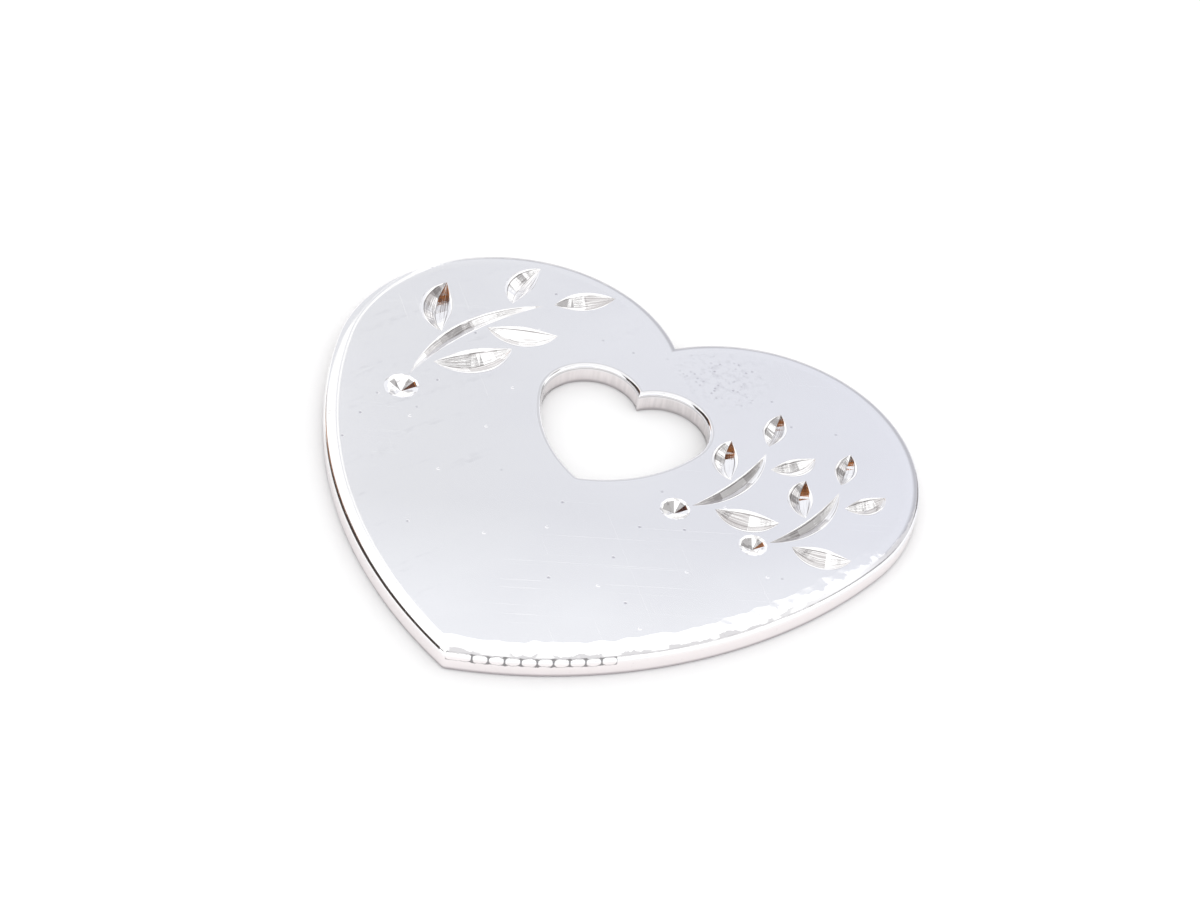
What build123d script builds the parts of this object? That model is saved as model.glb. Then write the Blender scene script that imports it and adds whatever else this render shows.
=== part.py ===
from build123d import *
import math
import os

# Heart-shaped metal plate with a heart-shaped window and bright-cut ornament, in millimetres.
# The origin is under the middle of the outline, on the resting face.
# +Z is up through the plate, +Y runs from the tip to the notch and +X to the right lobe.

# Plate blank
WIDTH = 38.0
HEIGHT = 34.0
LOBE_RADIUS = 11.06
SIDE_RADIUS = 30.5
THICKNESS = 1.4

# Edge section: a shallow polished roll-off, then a tight rounding down to the wall
ROLL_RADIUS = 3.0
ROLL_ANGLE = 14.0
EDGE_ROUND = 0.28
EDGE_BREAK = 0.12

# Heart-shaped window
WINDOW_WIDTH = 10.8
WINDOW_HEIGHT = 9.7
WINDOW_LOBE_RADIUS = 3.03
WINDOW_SIDE_RADIUS = 9.23
WINDOW_TIP_Y = 16.5
WINDOW_RIM = 0.26

# Engraving: strokes cut by a wide V edge, and faceted round pits
V_HALF_ANGLE = 62.0
STEM_DEPTH = 0.26
PIT_SIDES = 12
PIT_SLOPE = 25.5
PIT_FLOOR = 0.05
PIT_GAP = 0.25

# Where leaves stand on a sprig's stem, as shares of its length, and how they lean and shrink
LEAF_FIRST = 0.16
LEAF_LAST = 0.84
LEAF_GAP = 0.7
LEAF_ANGLE = 40.0
LEAF_BOW = 0.11
LEAF_SHRINK = 0.2

# Sprigs, measured from the heart's tip: stem foot, stem tip, stem bow, side leaves,
# leaf length, leaf depth and pit radius
SPRIGS = [
    ((-12.9, 18.9), (-8.9, 29.3), 1.3, 4, 5.2, 0.54, 1.0),
    ((6.9, 18.0), (8.9, 24.6), -0.8, 3, 3.9, 0.44, 0.85),
    ((12.1, 17.7), (14.05, 23.9), -0.8, 3, 3.6, 0.42, 0.8),
]

# How far a cutter stands past the faces, and a reach beyond the whole plate
CLEARANCE = 0.3
FAR = 60.0


def heart_centres(width, height, lobe, side):
    """Centres of the right lobe's arc and the right side's arc, with the heart's tip at (0, 0).

    The side arc passes through the tip and runs into the lobe arc without a corner.
    """
    lobe_x = width / 2 - lobe
    lobe_y = height - lobe
    span = math.hypot(lobe_x, lobe_y)
    along = (side**2 - (side - lobe) ** 2 + span**2) / (2 * span)
    across = math.sqrt(side**2 - along**2)
    side_x = (along * lobe_x - across * lobe_y) / span
    side_y = (along * lobe_y + across * lobe_x) / span
    return (lobe_x, lobe_y), (side_x, side_y)


def heart(width, height, lobe, side, turned, base, top):
    """Heart solid from two turned discs, cut where their arcs meet, and mirrored at x = 0."""
    (lobe_x, lobe_y), (side_x, side_y) = heart_centres(width, height, lobe, side)
    slope = (lobe_y - side_y) / (lobe_x - side_x)
    joint = lobe_y - slope * lobe_x
    corner = (FAR, joint + slope * FAR)
    above = make_face(Polyline((0, joint), corner, (FAR, FAR), (0, FAR), (0, joint)))
    below = make_face(Polyline((0, joint), (0, -FAR), (FAR, -FAR), corner, (0, joint)))
    depth = top - base
    upper = Pos(lobe_x, lobe_y) * turned(lobe) & extrude(Pos(0, 0, base) * above, depth)
    lower = Pos(side_x, side_y) * turned(side) & extrude(Pos(0, 0, base) * below, depth)
    right = upper + lower
    return right + mirror(right, about=Plane.YZ)


def plate_disc(radius):
    """Disc with the plate's thickness and edge section."""
    roll = math.radians(ROLL_ANGLE)
    drop = ROLL_RADIUS * (1 - math.cos(roll)) + EDGE_ROUND * math.cos(roll)
    wall_top = THICKNESS - drop
    wall = Polyline((0, 0), (radius - EDGE_BREAK, 0), (radius, EDGE_BREAK), (radius, wall_top))
    rounding = JernArc(wall @ 1, (0, 1), EDGE_ROUND, 90 - ROLL_ANGLE)
    roll_off = JernArc(rounding @ 1, rounding % 1, ROLL_RADIUS, ROLL_ANGLE)
    face = Polyline(roll_off @ 1, (0, THICKNESS), (0, 0))
    section = make_face([wall, rounding, roll_off, face])
    return revolve(Plane.XZ * section, Axis.Z)


def window_disc(radius):
    """Disc that cuts the window: a straight wall that flares into the rounded rim."""
    rim_start = THICKNESS - WINDOW_RIM
    wall = Polyline((0, -CLEARANCE), (radius, -CLEARANCE), (radius, rim_start))
    rim = JernArc(wall @ 1, (0, 1), WINDOW_RIM, -90)
    top = THICKNESS + CLEARANCE
    closing = Polyline(rim @ 1, (radius + WINDOW_RIM, top), (0, top), (0, -CLEARANCE))
    section = make_face([wall, rim, closing])
    return revolve(Plane.XZ * section, Axis.Z)


def stroke(start, end, bow, depth):
    """Cutter for one engraved stroke.

    The V edge follows a circular arc that leaves the face at start, is deepest halfway, where it
    stands bow to the left of the straight line, and comes back to the face at end.
    """
    length = math.dist(start, end)
    sagitta = math.hypot(bow, depth)
    radius = (length**2 / 4 + sagitta**2) / (2 * sagitta)
    rise = depth + CLEARANCE
    half_width = rise * math.tan(math.radians(V_HALF_ANGLE))
    tooth = make_face(Polyline((0, 0), (half_width, rise), (-half_width, rise), (0, 0)))
    reach = math.degrees(math.asin(length / 2 / radius)) + math.degrees(CLEARANCE / radius) * 2
    axis = Axis((0, -bow * radius / sagitta, depth * radius / sagitta), (0, depth, bow))
    section = (Plane.YZ * tooth).rotate(axis, -reach)
    cut = revolve(section, axis, 2 * reach)
    heading = math.degrees(math.atan2(end[1] - start[1], end[0] - start[0]))
    middle = ((start[0] + end[0]) / 2, (start[1] + end[1]) / 2)
    place = Pos(middle[0], middle[1], THICKNESS - depth) * Rot(0, 0, heading)
    return place * Pos(0, bow, 0) * cut


def pit(centre, radius):
    """Cutter for one round pit with flat radial facets."""
    depth = radius * math.tan(math.radians(PIT_SLOPE))
    mouth = RegularPolygon(radius * (1 + CLEARANCE / depth), PIT_SIDES)
    floor = RegularPolygon(PIT_FLOOR, PIT_SIDES)
    cone = loft([floor, Pos(0, 0, depth + CLEARANCE) * mouth])
    return Pos(centre[0], centre[1], THICKNESS - depth) * cone


def along_arc(start, end, bow, part):
    """Point and heading, a fraction of the way along the arc that a stroke follows."""
    length = math.dist(start, end)
    radius = (length**2 / 4 + bow**2) / (2 * bow)
    half = math.asin(length / 2 / radius)
    turn = half * (1 - 2 * part)
    chord = math.atan2(end[1] - start[1], end[0] - start[0])
    local_x = length / 2 - radius * math.sin(turn)
    local_y = radius * math.cos(turn) - (radius - bow)
    x = start[0] + local_x * math.cos(chord) - local_y * math.sin(chord)
    y = start[1] + local_x * math.sin(chord) + local_y * math.cos(chord)
    return (x, y), chord + turn


def step_from(point, heading, distance):
    """Point at a distance from another one, along a heading in radians."""
    return (point[0] + distance * math.cos(heading), point[1] + distance * math.sin(heading))


def sprig_strokes(foot, tip, bow, leaves, leaf_length, leaf_depth):
    """Strokes of one leaf sprig as (start, end, bow, depth): a stem, side leaves and an end leaf."""
    strokes = [(foot, tip, bow, STEM_DEPTH)]
    for number in range(leaves):
        share = number / (leaves - 1)
        side = 1 if number % 2 else -1
        point, heading = along_arc(foot, tip, bow, LEAF_FIRST + (LEAF_LAST - LEAF_FIRST) * share)
        base = step_from(point, heading + side * math.pi / 2, LEAF_GAP)
        size = 1 - LEAF_SHRINK * share
        end = step_from(base, heading + side * math.radians(LEAF_ANGLE), leaf_length * size)
        strokes.append((base, end, side * LEAF_BOW * leaf_length * size, leaf_depth * size))
    point, heading = along_arc(foot, tip, bow, 1)
    base = step_from(point, heading, LEAF_GAP)
    size = 1 - LEAF_SHRINK
    strokes.append((base, step_from(base, heading, leaf_length * size), 0, leaf_depth * size))
    return strokes


def sprig(foot, tip, bow, leaves, leaf_length, leaf_depth, pit_radius):
    """Cutters for one sprig: its strokes, and the round pit under the foot of its stem."""
    cutters = [stroke(*line) for line in sprig_strokes(foot, tip, bow, leaves, leaf_length, leaf_depth)]
    point, heading = along_arc(foot, tip, bow, 0)
    centre = step_from(point, heading, -PIT_GAP - pit_radius)
    return cutters + [pit(centre, pit_radius)]


def heart_plate():
    """The finished plate: blank, window and engraving, with the origin under its middle."""
    plate = heart(WIDTH, HEIGHT, LOBE_RADIUS, SIDE_RADIUS, plate_disc, 0, THICKNESS)
    window_base = -CLEARANCE
    window_top = THICKNESS + CLEARANCE
    window = heart(WINDOW_WIDTH, WINDOW_HEIGHT, WINDOW_LOBE_RADIUS, WINDOW_SIDE_RADIUS,
                   window_disc, window_base, window_top)
    plate -= Pos(0, WINDOW_TIP_Y) * window
    for row in SPRIGS:
        plate -= sprig(*row)
    return Pos(0, -HEIGHT / 2) * plate


os.makedirs("parts", exist_ok=True)
export_step(heart_plate(), "parts/heart_plate.step")
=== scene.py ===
# %% [markdown]
# A heart-shaped silver plate
# The object is one flat plate, cut in the outline of a heart, with a heart-shaped window and bright-cut
# leaf sprigs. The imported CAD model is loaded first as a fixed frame, and every size below is in metres
# in that frame: +X to the right lobe, +Y from the tip to the notch, and +Z up out of the engraved face.

# %% Load the frame
import math

import bpy
import bmesh
import numpy as np
from mathutils import Matrix, Vector, geometry


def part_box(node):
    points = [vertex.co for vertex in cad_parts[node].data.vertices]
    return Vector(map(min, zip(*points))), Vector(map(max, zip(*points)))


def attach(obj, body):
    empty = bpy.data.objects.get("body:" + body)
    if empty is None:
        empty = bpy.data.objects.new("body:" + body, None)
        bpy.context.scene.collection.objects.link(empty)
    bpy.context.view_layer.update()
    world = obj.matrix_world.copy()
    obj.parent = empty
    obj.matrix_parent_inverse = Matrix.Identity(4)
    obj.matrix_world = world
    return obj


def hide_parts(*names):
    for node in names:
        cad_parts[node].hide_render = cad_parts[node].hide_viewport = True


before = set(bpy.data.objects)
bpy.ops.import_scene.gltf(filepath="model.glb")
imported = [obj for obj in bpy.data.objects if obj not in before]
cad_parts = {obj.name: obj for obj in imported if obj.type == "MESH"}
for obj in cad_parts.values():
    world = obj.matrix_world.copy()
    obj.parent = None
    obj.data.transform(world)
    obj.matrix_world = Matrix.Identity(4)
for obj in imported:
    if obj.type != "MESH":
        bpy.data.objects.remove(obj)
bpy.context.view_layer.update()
MM = 0.001

# %% [markdown]
# The camera
# The plate is seen from the front, a little from its right, at about 43 degrees above the table, through
# a lens of moderate length. The camera is rolled by some degrees, so that the heart lies askew.

# %% Place the camera
VIEW_AZIMUTH = math.radians(20.08)
VIEW_ELEVATION = math.radians(43.21)
VIEW_ROLL = math.radians(9.03)
VIEW_DISTANCE = 148.45 * MM
VIEW_TARGET = Vector((-0.39, 3.67, 0)) * MM
LENS = 72.5


def direction(azimuth, elevation):
    """Unit vector from the plate towards a place in the room; azimuth 0 is in front of the tip."""
    flat = math.cos(elevation)
    return Vector((math.sin(azimuth) * flat, -math.cos(azimuth) * flat, math.sin(elevation)))


def aim(thing, towards_viewer, roll):
    """Turns an object so that its own +Z points along a direction, then rolls it."""
    side = Vector((0, 0, 1)).cross(towards_viewer).normalized()
    up = towards_viewer.cross(side)
    right = math.cos(roll) * side + math.sin(roll) * up
    turned_up = towards_viewer.cross(right)
    thing.rotation_euler = Matrix((right, turned_up, towards_viewer)).transposed().to_euler()


camera = bpy.data.objects.new("camera", bpy.data.cameras.new("camera"))
bpy.context.scene.collection.objects.link(camera)
bpy.context.scene.camera = camera
back = direction(VIEW_AZIMUTH, VIEW_ELEVATION)
camera.location = VIEW_TARGET + back * VIEW_DISTANCE
aim(camera, back, VIEW_ROLL)
camera.data.lens = LENS
camera.data.clip_start = 0.01
camera.data.clip_end = 10.0
print("camera at", [round(v, 4) for v in camera.location])

# %% [markdown]
# The outline
# Each half of the heart is two arcs that run into each other without a corner: a long side arc from
# the tip and a tighter lobe arc up to the notch. An inset outline has the same centres and smaller
# radii, so rings at any inset match point for point and can be joined by four-sided faces.

# %% Heart outlines at any inset
plate_low, plate_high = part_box("heart_plate")
WIDTH, HEIGHT, THICKNESS = [round((high - low) / MM, 1) * MM for low, high in zip(plate_low, plate_high)]
TIP_Y = -HEIGHT / 2
SIDE_STEPS = 240
LOBE_STEPS = 128
TIP_STEPS = 4


class Heart:
    """Outline of a heart, by the sizes that its four arcs need."""

    def __init__(self, width, height, lobe, side, tip_y, tip_round, finer=1.0):
        self.lobe, self.side, self.tip_y, self.tip_round = lobe, side, tip_y, tip_round
        self.side_steps = int(SIDE_STEPS * finer)
        self.lobe_steps = int(LOBE_STEPS * finer)
        self.lobe_x, self.lobe_y = width / 2 - lobe, height - lobe
        span = math.hypot(self.lobe_x, self.lobe_y)
        along = (side**2 - (side - lobe) ** 2 + span**2) / (2 * span)
        across = math.sqrt(side**2 - along**2)
        self.side_x = (along * self.lobe_x - across * self.lobe_y) / span
        self.side_y = (along * self.lobe_y + across * self.lobe_x) / span
        self.tip_angle = math.atan2(-self.side_y, -self.side_x)

    def ring(self, inset):
        """Points once round, counter-clockwise from the tip; a negative inset lies outside."""
        side, lobe = self.side - inset, self.lobe - inset
        corner_y = self.side_y - math.sqrt((self.side - self.tip_round) ** 2 - self.side_x**2)
        corner = max(self.tip_round - inset, 0)
        if corner > 0:
            start = math.atan2(corner_y - self.side_y, -self.side_x)
        else:
            start = math.atan2(-math.sqrt(side**2 - self.side_x**2), -self.side_x)
            corner_y = self.side_y - math.sqrt(side**2 - self.side_x**2)
        joint = math.atan2(self.lobe_y - self.side_y, self.lobe_x - self.side_x)
        end = math.atan2(math.sqrt(lobe**2 - self.lobe_x**2), -self.lobe_x)
        right = arc(0, corner_y, corner, -math.pi / 2, start, TIP_STEPS)[:-1]
        right += arc(self.side_x, self.side_y, side, start, joint, self.side_steps)[:-1]
        right += arc(self.lobe_x, self.lobe_y, lobe, joint, end, self.lobe_steps)
        left = [(-x, y) for x, y in right[-2:0:-1]]
        return [(x, y + self.tip_y) for x, y in right + left]


def arc(x, y, radius, start, end, steps):
    """Points along an arc, both ends included."""
    angles = [start + (end - start) * step / steps for step in range(steps + 1)]
    return [(x + radius * math.cos(a), y + radius * math.sin(a)) for a in angles]


WINDOW_TIP_Y = TIP_Y + 16.5 * MM
plate_outline = Heart(WIDTH, HEIGHT, 11.06 * MM, 30.5 * MM, TIP_Y, 0.35 * MM)
window_outline = Heart(10.8 * MM, 9.7 * MM, 3.03 * MM, 9.23 * MM, WINDOW_TIP_Y, 0.2 * MM, 0.5)
print("plate", WIDTH / MM, "x", HEIGHT / MM, "x", THICKNESS / MM, "mm")

# %% [markdown]
# The edge section
# A stamped and polished plate has no sharp upper edge. The face first rolls off gently over nearly a
# millimetre, then turns down in a tight rounding to the plain wall. The lower edge is barely broken.
# Each section is a list of (inset, height) pairs, and each pair becomes one ring of the mesh.

# %% Edge sections
ROLL_RADIUS = 3.0 * MM
ROLL_ANGLE = math.radians(14)
EDGE_ROUND = 0.28 * MM
EDGE_BREAK = 0.12 * MM
WINDOW_RIM = 0.26 * MM
WINDOW_BREAK = 0.05 * MM
FLAT_RING = 0.05 * MM
ROLL_DROP = ROLL_RADIUS * (1 - math.cos(ROLL_ANGLE))
TURN_INSET = EDGE_ROUND * (1 - math.sin(ROLL_ANGLE))


def outer_section():
    """Outer edge from the resting face up to a narrow flat ring on the upper face."""
    wall_top = THICKNESS - (ROLL_DROP + EDGE_ROUND * math.cos(ROLL_ANGLE))
    pairs = [(EDGE_BREAK + FLAT_RING, 0)]
    pairs += arc(EDGE_BREAK, EDGE_BREAK, EDGE_BREAK, -math.pi / 2, -math.pi, 4)
    pairs.append((0, (EDGE_BREAK + wall_top) / 2))
    pairs += arc(EDGE_ROUND, wall_top, EDGE_ROUND, math.pi, math.pi / 2 + ROLL_ANGLE, 12)
    run = TURN_INSET + ROLL_RADIUS * math.sin(ROLL_ANGLE)
    low = THICKNESS - ROLL_RADIUS
    pairs += arc(run, low, ROLL_RADIUS, math.pi / 2 + ROLL_ANGLE, math.pi / 2, 10)[1:]
    pairs.append((run + FLAT_RING, THICKNESS))
    return pairs


def window_section():
    """The window's wall, as insets of the window's outline, which are negative in the metal."""
    pairs = [(-WINDOW_BREAK - FLAT_RING, 0), (-WINDOW_BREAK, 0), (0, WINDOW_BREAK)]
    centre = THICKNESS - WINDOW_RIM
    pairs.append((0, centre / 2))
    pairs += arc(-WINDOW_RIM, centre, WINDOW_RIM, 0, math.pi / 2, 10)
    pairs.append((-WINDOW_RIM - FLAT_RING, THICKNESS))
    return pairs


print("rings:", len(outer_section()), "outside,", len(window_section()), "in the window")

# %% [markdown]
# A row of press marks
# To the right of the tip the tight rounding carries a row of small marks, left where the plate was held
# for pressing: one long bar, then nine short beads with shallow gaps between them. The rule below says
# how deep the gap is at any point of the outline, and the edge is pushed in there by a hair.

# %% Rule for the press marks
BAR_END = 1.55 * MM
BEAD_PITCH = 0.91 * MM
BEAD_COUNT = 9
BEADS_END = BAR_END + BEAD_COUNT * BEAD_PITCH
GAP_DEPTH = 0.015 * MM
GAP_START = 0.3


def gap_at(x, y):
    """Share of the full gap depth at a point of the outer edge: 1 in a gap and 0 on a bead."""
    turn = math.atan2(y - plate_outline.tip_y - plate_outline.side_y, x - plate_outline.side_x)
    run = plate_outline.side * (turn - plate_outline.tip_angle)
    if x <= 0 or not BAR_END < run < BEADS_END:
        return 0.0
    wave = math.cos(2 * math.pi * (run - BAR_END) / BEAD_PITCH)
    return max(0.0, (wave - GAP_START) / (1 - GAP_START))


print("the beads end", round(BEADS_END / MM, 2), "mm from the tip")

# %% [markdown]
# Where the engraving goes
# Three leaf sprigs are cut in the face: a large one on the left lobe and two small ones on the right.
# A sprig is a bowed stem, side leaves that alternate along it, an end leaf, and a round pit at its foot.
# Every stroke is one line with a bow and a greatest depth, so a whole sprig follows from a few numbers.

# %% Lay out the sprigs
STEM_DEPTH = 0.26 * MM
PIT_GAP = 0.25 * MM
LEAF_GAP = 0.7 * MM
LEAF_FIRST = 0.16
LEAF_LAST = 0.84
LEAF_ANGLE = math.radians(40)
LEAF_BOW = 0.11
LEAF_SHRINK = 0.2
STROKE_STEPS = 18


def along_arc(start, end, bow, part):
    """Point and heading, a fraction of the way along an arc that stands bow to the left."""
    length = math.dist(start, end)
    radius = (length**2 / 4 + bow**2) / (2 * bow)
    turn = math.asin(length / 2 / radius) * (1 - 2 * part)
    chord = math.atan2(end[1] - start[1], end[0] - start[0])
    forward = length / 2 - radius * math.sin(turn)
    left = radius * math.cos(turn) - (radius - bow)
    x = start[0] + forward * math.cos(chord) - left * math.sin(chord)
    y = start[1] + forward * math.sin(chord) + left * math.cos(chord)
    return (x, y), chord + turn


def step_from(point, heading, distance):
    """Point at a distance from another one, along a heading."""
    return (point[0] + distance * math.cos(heading), point[1] + distance * math.sin(heading))


def sprig_strokes(foot, tip, bow, leaves, leaf_length, leaf_depth):
    """Strokes of one sprig as (start, end, bow, depth): the stem, side leaves and the end leaf."""
    strokes = [(foot, tip, bow, STEM_DEPTH)]
    for number in range(leaves):
        share = number / (leaves - 1)
        side = 1 if number % 2 else -1
        point, heading = along_arc(foot, tip, bow, LEAF_FIRST + (LEAF_LAST - LEAF_FIRST) * share)
        base = step_from(point, heading + side * math.pi / 2, LEAF_GAP)
        size = 1 - LEAF_SHRINK * share
        end = step_from(base, heading + side * LEAF_ANGLE, leaf_length * size)
        strokes.append((base, end, side * LEAF_BOW * leaf_length * size, leaf_depth * size))
    point, heading = along_arc(foot, tip, bow, 1)
    base = step_from(point, heading, LEAF_GAP)
    size = 1 - LEAF_SHRINK
    end = step_from(base, heading, leaf_length * size)
    strokes.append((base, end, 0.01 * MM, leaf_depth * size))
    return strokes


def from_tip(x, y):
    """A place given in millimetres from the heart's tip, in the plate's frame."""
    return (x * MM, y * MM + TIP_Y)


SPRIGS = [
    (from_tip(-12.9, 18.9), from_tip(-8.9, 29.3), 1.3 * MM, 4, 5.2 * MM, 0.54 * MM, 1.0 * MM),
    (from_tip(6.9, 18.0), from_tip(8.9, 24.6), -0.8 * MM, 3, 3.9 * MM, 0.44 * MM, 0.85 * MM),
    (from_tip(12.1, 17.7), from_tip(14.05, 23.9), -0.8 * MM, 3, 3.6 * MM, 0.42 * MM, 0.8 * MM),
]
strokes = []
pits = []
for foot, tip, bow, leaves, leaf_length, leaf_depth, pit_radius in SPRIGS:
    strokes += sprig_strokes(foot, tip, bow, leaves, leaf_length, leaf_depth)
    point, heading = along_arc(foot, tip, bow, 0)
    pits.append((step_from(point, heading, -PIT_GAP - pit_radius), pit_radius))
print(len(strokes), "strokes and", len(pits), "pits")

# %% [markdown]
# The cutting edge
# A bright cut is made by a wide V-shaped tool. Its two walls stay flat and mirror-bright, and the
# polish afterwards leaves a small rounded lip where each wall meets the face. One section, drawn for a
# cut one unit deep, serves every stroke; a matching half section, turned about its end, serves the pits.

# %% Draw the sections of the cuts
WALL_SLOPE = math.radians(28)
LIP = 0.22
LIP_STEPS = 6
PIT_SLOPE = math.radians(25.5)
PIT_LIP = 0.1


def lip_points(corner, slope, size):
    """Lip from the face, at the right, down to the wall, at the left; it turns quickest at the face."""
    turns = [slope * math.sqrt(step / LIP_STEPS) for step in range(LIP_STEPS + 1)]
    steps = [(math.cos((a + b) / 2), math.sin((a + b) / 2)) for a, b in zip(turns, turns[1:])]
    run, fall = sum(x for x, _ in steps), sum(y for _, y in steps)
    length = size * math.tan(slope) / (run * math.tan(slope) - fall)
    points = [(corner + size, 0)]
    for x, y in steps:
        points.append((points[-1][0] - x * length, points[-1][1] + y * length))
    return points


def drawn_curve(name, splines):
    """Curve object of straight-segment splines; each spline is a list of points and a radius."""
    data = bpy.data.curves.new(name, "CURVE")
    data.dimensions = "3D"
    for points, radius in splines:
        spline = data.splines.new("POLY")
        spline.points.add(len(points) - 1)
        for place, point in zip(spline.points, points):
            place.co = (*point, 1)
            place.radius = radius
    shape = bpy.data.objects.new(name, data)
    bpy.context.scene.collection.objects.link(shape)
    return shape


half_mouth = 1 / math.tan(WALL_SLOPE)
right_half = lip_points(half_mouth, WALL_SLOPE, LIP)
left_half = [(-x, y) for x, y in reversed(right_half)]
v_points = [(x, y, 0) for x, y in right_half + [(0, 1)] + left_half]
v_section = drawn_curve("v_section", [(v_points, 1)])

pit_depth = math.tan(PIT_SLOPE)
pit_half = lip_points(1, PIT_SLOPE, PIT_LIP) + [(0.5, pit_depth / 2), (0, pit_depth)]
pit_section = drawn_curve("pit_section", [([(x - 1, y, 0) for x, y in pit_half], 1)])
print("a cut is", round(2 * half_mouth, 2), "times as wide as it is deep")

# %% [markdown]
# Cutting by rule
# A node tree makes every stroke at once. It sweeps the V section along each line, scales it from
# nothing at the ends to the full depth halfway, as a tool does when it plunges and lifts, and nudges
# the bottom of the cut a little at each step, which is the chatter that breaks a wall into facets.

# %% Tree for the strokes
def new_tree(name, inputs):
    """Geometry node tree with a geometry input and output, and the named inputs."""
    tree = bpy.data.node_groups.new(name, "GeometryNodeTree")
    tree.interface.new_socket("Geometry", in_out="INPUT", socket_type="NodeSocketGeometry")
    tree.interface.new_socket("Geometry", in_out="OUTPUT", socket_type="NodeSocketGeometry")
    for label, kind in inputs:
        tree.interface.new_socket(label, in_out="INPUT", socket_type="NodeSocket" + kind)
    return tree, tree.nodes.new("NodeGroupInput"), tree.nodes.new("NodeGroupOutput")


def add(tree, kind, links=None, settings=None):
    """Adds a node; links maps its inputs to sockets of other nodes or to plain values."""
    made = tree.nodes.new(kind)
    for key, value in (settings or {}).items():
        setattr(made, key, value)
    for key, value in (links or {}).items():
        if isinstance(value, bpy.types.NodeSocket):
            tree.links.new(value, made.inputs[key])
        else:
            made.inputs[key].default_value = value
    return made


def math_node(tree, operation, first, second=0.0):
    """Output of a Math node."""
    return add(tree, "ShaderNodeMath", {0: first, 1: second}, {"operation": operation}).outputs[0]


def less(tree, first, second):
    """The first value less the second."""
    return math_node(tree, "SUBTRACT", first, second)


def apart(tree, first, second):
    """How far two values lie apart."""
    return math_node(tree, "ABSOLUTE", less(tree, first, second))


def both(tree, first, *others):
    """Product of two or more values."""
    for other in others:
        first = math_node(tree, "MULTIPLY", first, other)
    return first


def grown(shape, tree, values, name):
    """Runs a tree on an object, and returns its result as a plain mesh object."""
    modifier = shape.modifiers.new(tree.name, "NODES")
    modifier.node_group = tree
    for item in tree.interface.items_tree:
        if item.in_out == "INPUT" and item.name in values:
            modifier[item.identifier] = values[item.name]
    bpy.context.view_layer.update()
    evaluated = shape.evaluated_get(bpy.context.evaluated_depsgraph_get())
    mesh = bpy.data.meshes.new_from_object(evaluated)
    shape.modifiers.remove(modifier)
    mesh.name = name
    return mesh


def stroke_tree():
    """Tree that turns lines, whose radius is a cut's depth, into open V-shaped troughs."""
    inputs = [("Section", "Object"), ("Face Height", "Float"), ("Chatter", "Float"),
              ("Seed", "Int"), ("Weld", "Float"), ("Material", "Material")]
    tree, given, result = new_tree("bright_cut_strokes", inputs)
    upright = add(tree, "GeometryNodeSetCurveNormal", {"Curve": given.outputs["Geometry"]}, {"mode": "Z_UP"})
    place = add(tree, "GeometryNodeSplineParameter")
    number = add(tree, "GeometryNodeCurveOfPoint")
    where = add(tree, "ShaderNodeCombineXYZ",
                {"X": place.outputs["Length"], "Z": number.outputs["Curve Index"]})
    marked = add(tree, "GeometryNodeStoreNamedAttribute",
                 {"Geometry": upright.outputs[0], "Name": "stroke_place", "Value": where.outputs[0]},
                 {"data_type": "FLOAT_VECTOR", "domain": "POINT"})
    rest = less(tree, 1.0, place.outputs["Factor"])
    swell = both(tree, place.outputs["Factor"], rest, 4.0)
    depth = both(tree, swell, add(tree, "GeometryNodeInputRadius").outputs[0])
    drawn = add(tree, "GeometryNodeObjectInfo", {"Object": given.outputs["Section"]})
    edge = add(tree, "GeometryNodeStoreNamedAttribute",
               {"Geometry": drawn.outputs["Geometry"], "Name": "across", "Value": place.outputs["Factor"]},
               {"data_type": "FLOAT", "domain": "POINT"})
    trough = add(tree, "GeometryNodeCurveToMesh",
                 {"Curve": marked.outputs[0], "Profile Curve": edge.outputs[0], "Scale": depth})
    across = add(tree, "GeometryNodeInputNamedAttribute", {"Name": "across"}, {"data_type": "FLOAT"})
    off_centre = apart(tree, across.outputs[0], 0.5)
    bottom = math_node(tree, "LESS_THAN", off_centre, 0.01)
    height = add(tree, "ShaderNodeSeparateXYZ", {0: add(tree, "GeometryNodeInputPosition").outputs[0]})
    sunk = less(tree, given.outputs["Face Height"], height.outputs["Z"])
    reach = both(tree, sunk, given.outputs["Chatter"])
    nudge = add(tree, "FunctionNodeRandomValue",
                {"Min": (-1, -1, -0.3), "Max": (1, 1, 0.3), "Seed": given.outputs["Seed"]},
                {"data_type": "FLOAT_VECTOR"})
    offset = add(tree, "ShaderNodeVectorMath", {0: nudge.outputs[0], "Scale": reach}, {"operation": "SCALE"})
    shaken = add(tree, "GeometryNodeSetPosition",
                 {"Geometry": trough.outputs[0], "Selection": bottom, "Offset": offset.outputs[0]})
    is_wall = math_node(tree, "LESS_THAN", off_centre, 0.35)
    is_lip = less(tree, 1.0, is_wall)
    shaded = add(tree, "GeometryNodeSetShadeSmooth", {"Geometry": shaken.outputs[0], "Shade Smooth": is_lip})
    welded = add(tree, "GeometryNodeMergeByDistance",
                 {"Geometry": shaded.outputs[0], "Distance": given.outputs["Weld"]})
    real = add(tree, "GeometryNodeRealizeInstances", {"Geometry": welded.outputs[0]})
    dressed = add(tree, "GeometryNodeSetMaterial",
                  {"Geometry": real.outputs[0], "Material": given.outputs["Material"]})
    tree.links.new(dressed.outputs[0], result.inputs[0])
    return tree


cut_silver = bpy.data.materials.new("cut_silver")
face_silver = bpy.data.materials.new("face_silver")
edge_silver = bpy.data.materials.new("edge_silver")
WELD = 0.0005 * MM
CHATTER = 0.05


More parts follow.
